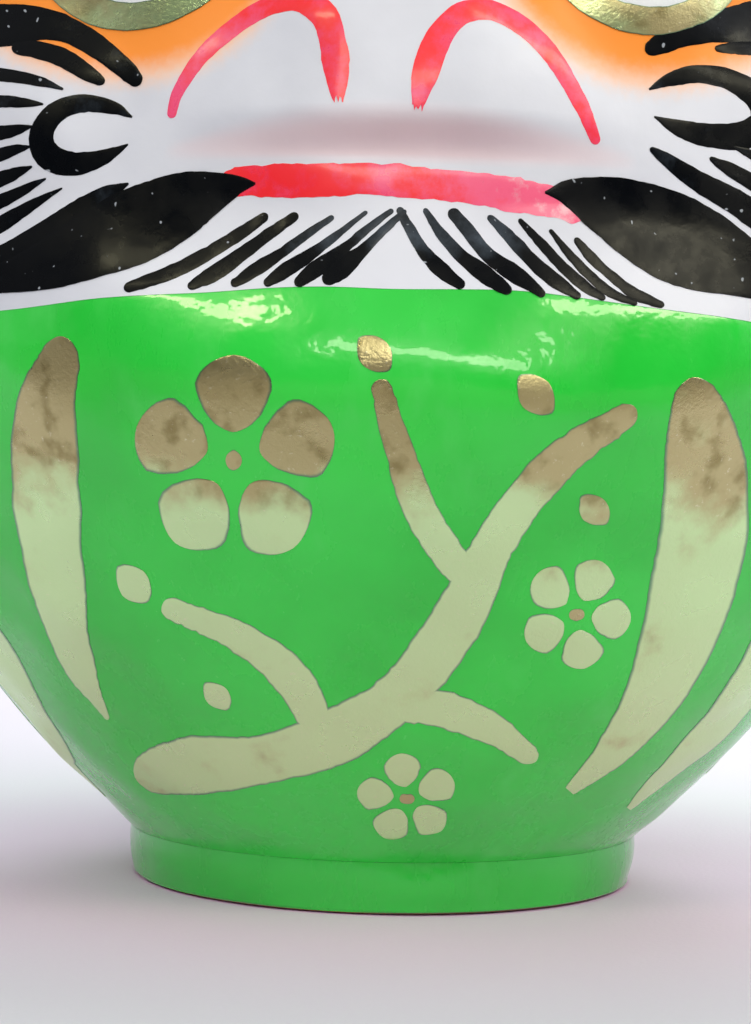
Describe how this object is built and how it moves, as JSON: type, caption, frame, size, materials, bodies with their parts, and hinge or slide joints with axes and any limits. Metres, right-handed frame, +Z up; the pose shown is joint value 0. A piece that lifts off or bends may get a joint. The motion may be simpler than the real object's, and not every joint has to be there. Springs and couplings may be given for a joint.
{
  "type": "daruma doll",
  "caption": "Round papier-mache wishing doll with a pressed-in face, hollow shell on a low weighted foot, free-standing.",
  "frame": {"origin": "middle of the flat underside that the doll stands on", "axes": "+Z up through the crown, -Y towards the face, +X towards the doll's left hand side as seen from the front"},
  "size_m": [0.278, 0.2597, 0.3],
  "materials": {
    "lacquered_paper": "glossy green lacquer over chalk ground",
    "lacquered_foot": "glossy green lacquer",
    "dry_clay": "raw, dry",
    "raw_card": "raw, matt"
  },
  "bodies": {
    "root": {"paper_shell": "lacquered_paper", "seam_strip": "lacquered_paper", "foot_ring": "lacquered_foot", "clay_weight": "dry_clay", "base_disc": "raw_card"}
  },
  "joints": []
}
